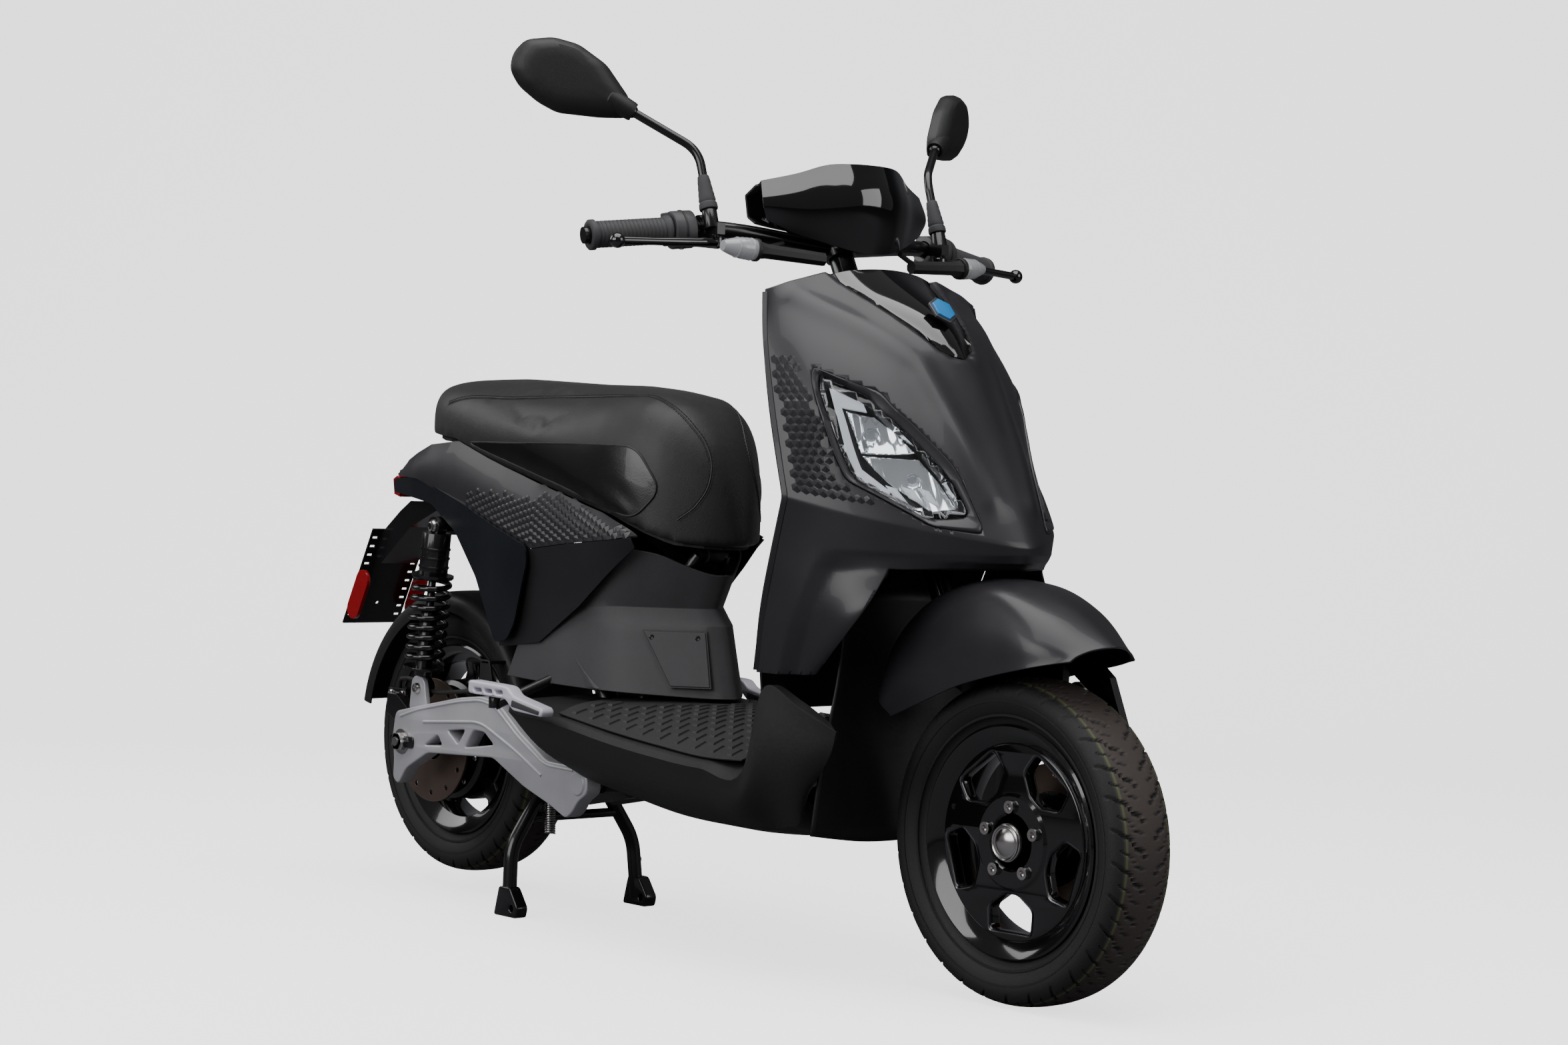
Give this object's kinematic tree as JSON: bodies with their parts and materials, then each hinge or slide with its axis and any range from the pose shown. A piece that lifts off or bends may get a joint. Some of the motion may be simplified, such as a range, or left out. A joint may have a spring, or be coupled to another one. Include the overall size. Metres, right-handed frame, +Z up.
{
  "type": "moped scooter",
  "caption": "Electric step-through moped scooter with hub drive, folding stand and pegs, hinged seat, steering, suspension and working hand controls.",
  "frame": {"origin": "on the ground under the middle of the scooter's bounding box", "axes": "+X forwards, +Y to the rider's left, +Z up; the centre stand's feet and the front tyre stand on z = 0"},
  "size_m": [1.731, 0.8184, 1.219],
  "materials": {
    "frame_paint": "satin",
    "body_satin": "satin",
    "body_gloss": "gloss",
    "trim_grey": "textured",
    "tail_satin": "satin",
    "liner_black": "matte",
    "lamp_reflector": "bright",
    "lamp_clear": "clear",
    "lamp_red": "gloss",
    "mat_rubber": "matte",
    "seat_vinyl": "grained",
    "battery_case": "matte",
    "cast_silver": "satin",
    "wheel_black": "gloss",
    "tyre_rubber": "matte",
    "disc_steel": "brushed",
    "bright_steel": "brushed",
    "black_metal": "satin",
    "spring_paint": "gloss",
    "peg_white": "satin",
    "grip_rubber": "ribbed",
    "motor_black": "satin"
  },
  "bodies": {
    "chassis": {"main_frame": "frame_paint", "front_shield": "body_satin", "inner_shield": "trim_grey", "centre_panel": "body_gloss", "headlight_housings": "lamp_reflector", "headlight_lenses": "lamp_clear", "wheel_arch_liner": "liner_black", "floorboard": "trim_grey", "floor_mat": "mat_rubber", "under_seat_cover": "trim_grey", "access_hatch": "trim_grey", "side_panels": "body_satin", "outer_panels": "tail_satin", "tail_cover": "liner_black", "tail_light": "lamp_red", "plate_bracket": "liner_black", "side_reflectors": "lamp_red", "battery": "battery_case"},
    "seat": {"seat_cushion": "seat_vinyl", "seat_base": "liner_black"},
    "rear_arm": {"swingarm": "cast_silver", "rear_hugger": "liner_black", "rear_caliper": "black_metal", "rear_axle": "bright_steel"},
    "rear_wheel": {"rear_hub_motor": "motor_black", "rear_tyre": "tyre_rubber", "rear_brake_disc": "disc_steel"},
    "rear_damper_tops": {"rear_shock_uppers": "black_metal", "rear_springs": "spring_paint"},
    "rear_damper_rods": {"rear_shock_lowers": "bright_steel"},
    "stand": {"centre_stand": "frame_paint"},
    "peg_right": {"passenger_peg_right": "peg_white"},
    "peg_left": {"passenger_peg_left": "peg_white"},
    "steering": {"steering_stem": "frame_paint", "front_fender": "body_satin", "handlebar": "black_metal", "headset_front": "body_gloss", "headset_rear": "trim_grey", "front_indicators": "lamp_clear", "switch_pods": "liner_black", "lever_perches": "black_metal", "grip_left": "grip_rubber"},
    "throttle": {"throttle_grip": "grip_rubber"},
    "lever_right": {"brake_lever_right": "body_gloss"},
    "lever_left": {"brake_lever_left": "body_gloss"},
    "mirror_arm_right": {"mirror_stem_right": "black_metal"},
    "mirror_arm_left": {"mirror_stem_left": "black_metal"},
    "mirror_right": {"mirror_head_right": "body_gloss"},
    "mirror_left": {"mirror_head_left": "body_gloss"},
    "start_key": {"start_button": "lamp_red"},
    "horn_key": {"horn_button": "liner_black"},
    "turn_key": {"turn_switch": "trim_grey"},
    "front_suspension": {"front_arm": "cast_silver"},
    "front_damper_top": {"front_shock_upper": "black_metal", "front_spring": "spring_paint"},
    "front_damper_rod": {"front_shock_lower": "bright_steel"},
    "front_wheel": {"front_rim": "wheel_black", "front_tyre": "tyre_rubber", "front_brake_disc": "disc_steel", "wheel_fasteners": "bright_steel"}
  },
  "joints": [
    {"name": "steering_turn", "type": "hinge", "parent": "chassis", "child": "steering", "pos_m": [0.74049, 0, 0], "axis": [-0.4384, 0, 0.8988], "range_deg": [-40, 40]},
    {"name": "front_arm_swing", "type": "hinge", "parent": "steering", "child": "front_suspension", "pos_m": [0.76249, 0.074, 0.205], "axis": [0, 1, 0], "range_deg": [0, 20], "stiffness_Nm_per_rad": 300, "springref_deg": -17.19, "deforming": ["front_spring"]},
    {"name": "front_wheel_spin", "type": "hinge", "parent": "front_suspension", "child": "front_wheel", "pos_m": [0.66049, 0, 0.205], "axis": [0, 1, 0], "continuous": true},
    {"name": "front_damper_top_swing", "type": "hinge", "parent": "steering", "child": "front_damper_top", "pos_m": [0.63849, 0.108, 0.385], "axis": [0, 1, 0], "range_deg": [-12, 0]},
    {"name": "front_damper_rod_swing", "type": "hinge", "parent": "front_suspension", "child": "front_damper_rod", "pos_m": [0.67449, 0.108, 0.232], "axis": [0, 1, 0], "range_deg": [-32, 0]},
    {"name": "rear_arm_swing", "type": "hinge", "parent": "chassis", "child": "rear_arm", "pos_m": [-0.09951, 0, 0.212], "axis": [0, 1, 0], "range_deg": [0, 6], "stiffness_Nm_per_rad": 400, "springref_deg": -11.46, "deforming": ["rear_springs"]},
    {"name": "rear_wheel_spin", "type": "hinge", "parent": "rear_arm", "child": "rear_wheel", "pos_m": [-0.55151, 0, 0.236], "axis": [0, 1, 0], "continuous": true},
    {"name": "rear_damper_top_swing", "type": "hinge", "parent": "chassis", "child": "rear_damper_tops", "pos_m": [-0.50051, 0, 0.566], "axis": [0, 1, 0], "range_deg": [-3, 0]},
    {"name": "rear_damper_rod_swing", "type": "hinge", "parent": "rear_arm", "child": "rear_damper_rods", "pos_m": [-0.53351, 0, 0.318], "axis": [0, 1, 0], "range_deg": [-9, 0]},
    {"name": "centre_stand_fold", "type": "hinge", "parent": "chassis", "child": "stand", "pos_m": [-0.29551, 0, 0.176], "axis": [0, 1, 0], "range_deg": [0, 75], "stiffness_Nm_per_rad": 20, "springref_deg": -28.65},
    {"name": "seat_lift", "type": "hinge", "parent": "chassis", "child": "seat", "pos_m": [0.01849, 0, 0.541], "axis": [0, 1, 0], "range_deg": [0, 40]},
    {"name": "peg_right_fold", "type": "hinge", "parent": "chassis", "child": "peg_right", "pos_m": [-0.22951, -0.192, 0.321], "axis": [0, 0, -1], "range_deg": [0, 85]},
    {"name": "peg_left_fold", "type": "hinge", "parent": "chassis", "child": "peg_left", "pos_m": [-0.22951, 0.192, 0.321], "axis": [0, 0, 1], "range_deg": [0, 85]},
    {"name": "throttle_twist", "type": "hinge", "parent": "steering", "child": "throttle", "pos_m": [0.23149, -0.19, 0.976], "axis": [-0.2567, -0.96, -0.1116], "range_deg": [0, 70], "stiffness_Nm_per_rad": 0.5, "springref_deg": -11.46},
    {"name": "brake_lever_right_pull", "type": "hinge", "parent": "steering", "child": "lever_right", "pos_m": [0.25849, -0.2, 0.955], "axis": [0, 0, -1], "range_deg": [0, 12], "stiffness_Nm_per_rad": 2, "springref_deg": -11.46},
    {"name": "brake_lever_left_pull", "type": "hinge", "parent": "steering", "child": "lever_left", "pos_m": [0.25849, 0.2, 0.955], "axis": [0, 0, 1], "range_deg": [0, 12], "stiffness_Nm_per_rad": 2, "springref_deg": -11.46},
    {"name": "mirror_stem_right_turn", "type": "hinge", "parent": "steering", "child": "mirror_arm_right", "pos_m": [0.24749, -0.205, 0.998], "axis": [-0.3017, 0, 0.9534], "range_deg": [-20, 20]},
    {"name": "mirror_stem_left_turn", "type": "hinge", "parent": "steering", "child": "mirror_arm_left", "pos_m": [0.24749, 0.205, 0.998], "axis": [-0.3017, 0, 0.9534], "range_deg": [-20, 20]},
    {"name": "mirror_right_turn", "type": "hinge", "parent": "mirror_arm_right", "child": "mirror_right", "pos_m": [0.16549, -0.273, 1.126], "axis": [-0.5623, -0.6709, 0.4834], "range_deg": [-10, 10]},
    {"name": "mirror_left_turn", "type": "hinge", "parent": "mirror_arm_left", "child": "mirror_left", "pos_m": [0.16549, 0.273, 1.126], "axis": [-0.5623, 0.6709, 0.4834], "range_deg": [-10, 10]},
    {"name": "start_button_press", "type": "slide", "parent": "steering", "child": "start_key", "axis": [0.9664, -0.2567, -0.0146], "range_m": [0, 0.002], "stiffness_N_per_m": 300, "springref_m": -0.002},
    {"name": "horn_button_press", "type": "slide", "parent": "steering", "child": "horn_key", "axis": [0.9664, 0.2567, -0.0146], "range_m": [0, 0.002], "stiffness_N_per_m": 300, "springref_m": -0.002},
    {"name": "turn_switch_slide", "type": "slide", "parent": "steering", "child": "turn_key", "axis": [-0.2567, 0.96, -0.1116], "range_m": [-0.003, 0.003], "stiffness_N_per_m": 200}
  ],
  "couplings": [
    {"joint": "front_damper_top_swing", "follows": "front_arm_swing", "ratio": -0.442},
    {"joint": "front_damper_rod_swing", "follows": "front_arm_swing", "ratio": -1.442},
    {"joint": "rear_damper_top_swing", "follows": "rear_arm_swing", "ratio": -0.35},
    {"joint": "rear_damper_rod_swing", "follows": "rear_arm_swing", "ratio": -1.35}
  ]
}
